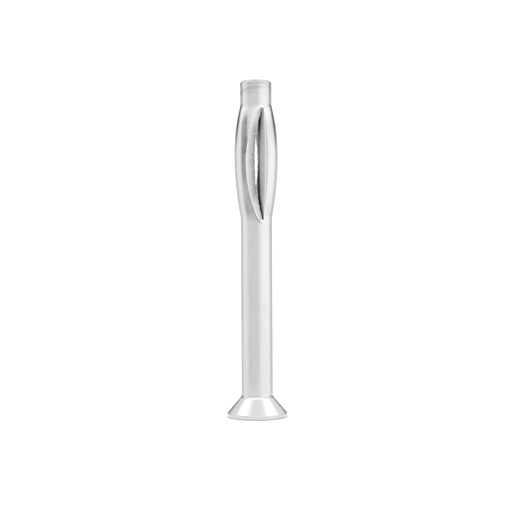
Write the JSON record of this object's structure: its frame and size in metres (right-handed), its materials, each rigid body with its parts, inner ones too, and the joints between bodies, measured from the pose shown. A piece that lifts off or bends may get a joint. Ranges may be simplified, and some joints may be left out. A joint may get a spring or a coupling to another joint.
{
  "type": "split-drive anchor",
  "caption": "One-piece zinc-plated steel split-drive anchor with a countersunk head and a bowed, split section near its tip that grips a drilled hole.",
  "frame": {"origin": "centre of the flat face of the head, which the pin stands on", "axes": "+Z along the pin from the head towards the tip; the two legs bow towards +X and -X; the slit opens towards -Y and +Y"},
  "size_m": [0.0114, 0.0114, 0.0635],
  "materials": {
    "zinc_plated_steel": "bright zinc plating, satin"
  },
  "bodies": {
    "root": {"anchor_pin": "zinc_plated_steel"}
  },
  "joints": []
}
